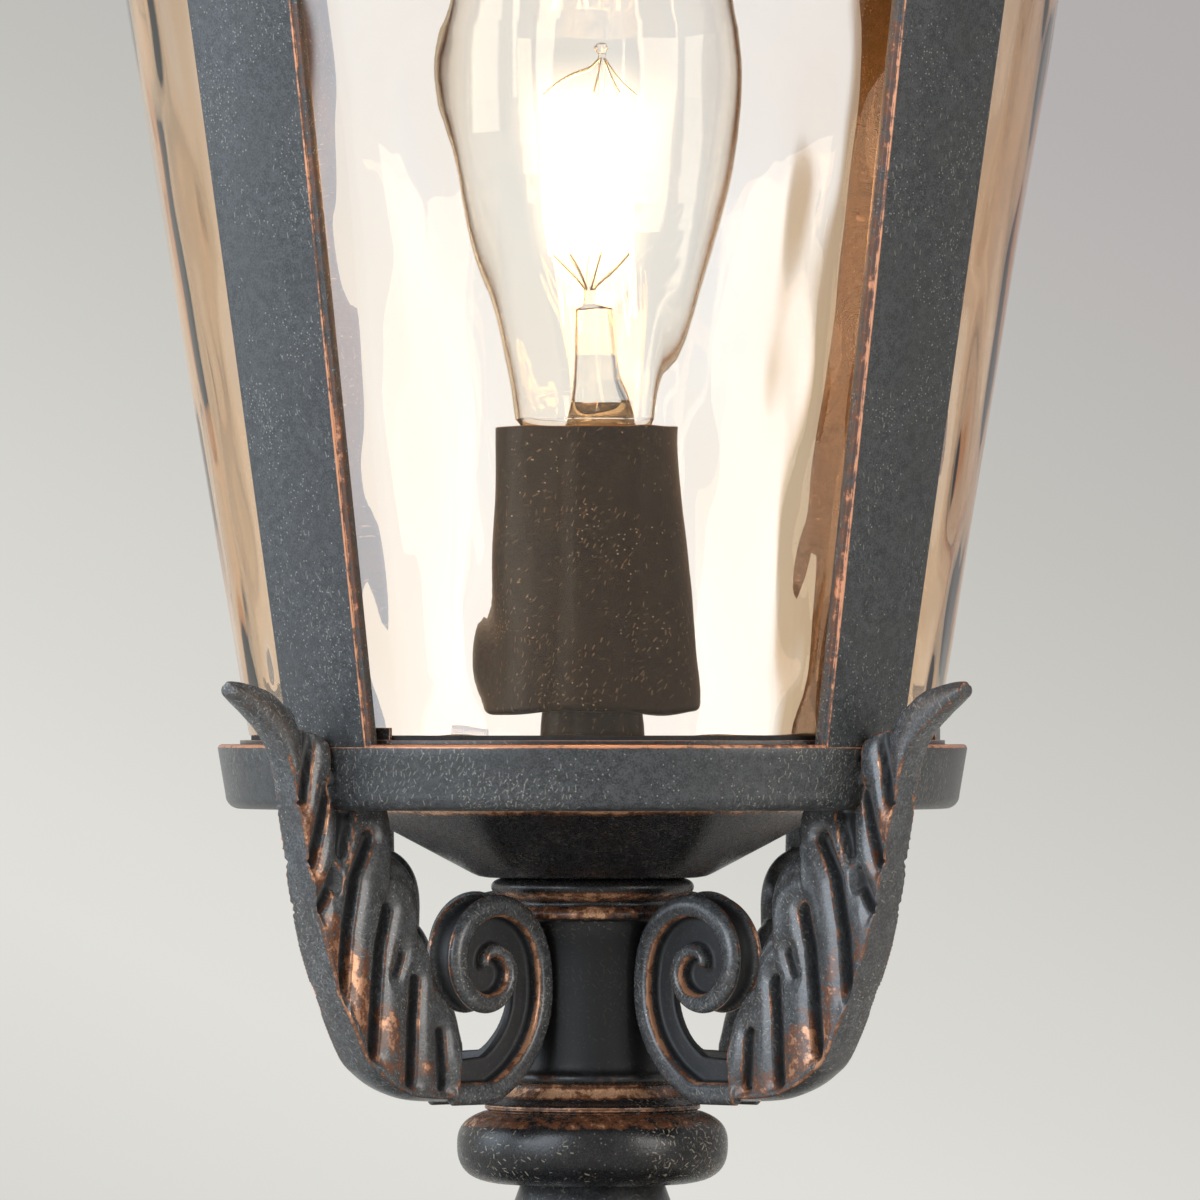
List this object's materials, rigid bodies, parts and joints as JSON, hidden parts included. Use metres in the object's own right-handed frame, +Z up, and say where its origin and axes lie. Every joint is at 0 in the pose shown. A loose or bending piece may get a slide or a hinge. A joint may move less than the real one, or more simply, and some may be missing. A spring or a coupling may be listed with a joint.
{
  "type": "pillar lantern",
  "caption": "Pillar lantern with a tapered round glass in a cast cage, acanthus scroll brackets, a turned stem and bell foot, and an ogee roof that lifts off.",
  "frame": {"origin": "centre of the foot's underside, on the pillar", "axes": "+Z up along the stem, -Y towards the viewer of the front window, +X to the right; the brackets stand on the diagonals"},
  "size_m": [0.254, 0.254, 0.5426],
  "materials": {
    "cast_finish": "dark bronze with rubbed copper edges",
    "holder_finish": "dark brown bronze",
    "dark_steel": "black oxide",
    "plated_steel": "zinc plated",
    "shield_sheet": "satin",
    "rubber": "matt",
    "block_plastic": "matt",
    "porcelain": "glazed",
    "brass": "bright",
    "brown_wire": "satin",
    "blue_wire": "satin",
    "green_wire": "satin",
    "lantern_glass": "rippled champagne tint",
    "lamp_glass": "clear",
    "lamp_cap": "satin",
    "lamp_black": "glossy",
    "filament": "glowing"
  },
  "bodies": {
    "root": {"base_foot": "cast_finish", "base_gasket": "rubber", "mounting_plate": "plated_steel", "side_screws": "dark_steel", "cable_grommet": "rubber", "terminal_block": "block_plastic", "terminal_screws": "brass", "earth_screw": "brass", "foot_washer": "plated_steel", "foot_nut": "plated_steel", "stem_torus": "cast_finish", "stem_column": "cast_finish", "bottom_cup": "cast_finish", "centre_tube": "plated_steel", "ring_nut": "plated_steel", "leaf_front_right": "cast_finish", "leaf_back_right": "cast_finish", "leaf_back_left": "cast_finish", "leaf_front_left": "cast_finish", "bracket_screws": "plated_steel", "cage": "cast_finish", "glass_tray": "cast_finish", "glass_gasket": "rubber", "glass": "lantern_glass", "holder_pipe": "holder_finish", "holder_cup": "holder_finish", "holder_nut": "plated_steel", "holder_body": "porcelain", "holder_shell": "brass", "holder_contact": "brass", "wire_live": "brown_wire", "wire_neutral": "blue_wire", "wire_earth": "green_wire", "top_bridge": "plated_steel", "bridge_screws": "plated_steel", "roof_rod": "plated_steel", "rod_nuts": "plated_steel"},
    "bulb_tip": {"bulb_tip": "lamp_black"},
    "bulb": {"bulb_cap": "lamp_cap", "bulb_envelope": "lamp_glass", "bulb_stem": "lamp_glass", "bulb_leads": "plated_steel", "bulb_filament": "filament"},
    "roof": {"roof_dome": "cast_finish", "roof_collar": "cast_finish", "heat_shield": "shield_sheet", "shield_screws": "plated_steel"},
    "finial_washer": {"finial_washer": "plated_steel"},
    "finial": {"finial": "cast_finish"}
  },
  "joints": [
    {"name": "roof_lift", "type": "slide", "parent": "root", "child": "roof", "axis": [0, 0, 1], "range_m": [0, 0.15]},
    {"name": "finial_rise", "type": "slide", "parent": "roof", "child": "finial_washer", "axis": [0, 0, 1], "range_m": [0, 0.0121]},
    {"name": "finial_turn", "type": "hinge", "parent": "finial_washer", "child": "finial", "pos_m": [0, 0, 0.475], "axis": [0, 0, 1], "range_deg": [0, 4320]},
    {"name": "bulb_rise", "type": "slide", "parent": "root", "child": "bulb_tip", "axis": [0, 0, 1], "range_m": [0, 0.0182]},
    {"name": "bulb_turn", "type": "hinge", "parent": "bulb_tip", "child": "bulb", "pos_m": [0, 0, 0.235], "axis": [0, 0, 1], "range_deg": [0, 1800]}
  ],
  "couplings": [
    {"joint": "finial_rise", "follows": "finial_turn", "m_per_rad": 0.00015915},
    {"joint": "bulb_rise", "follows": "bulb_turn", "m_per_rad": 0.00057757}
  ]
}
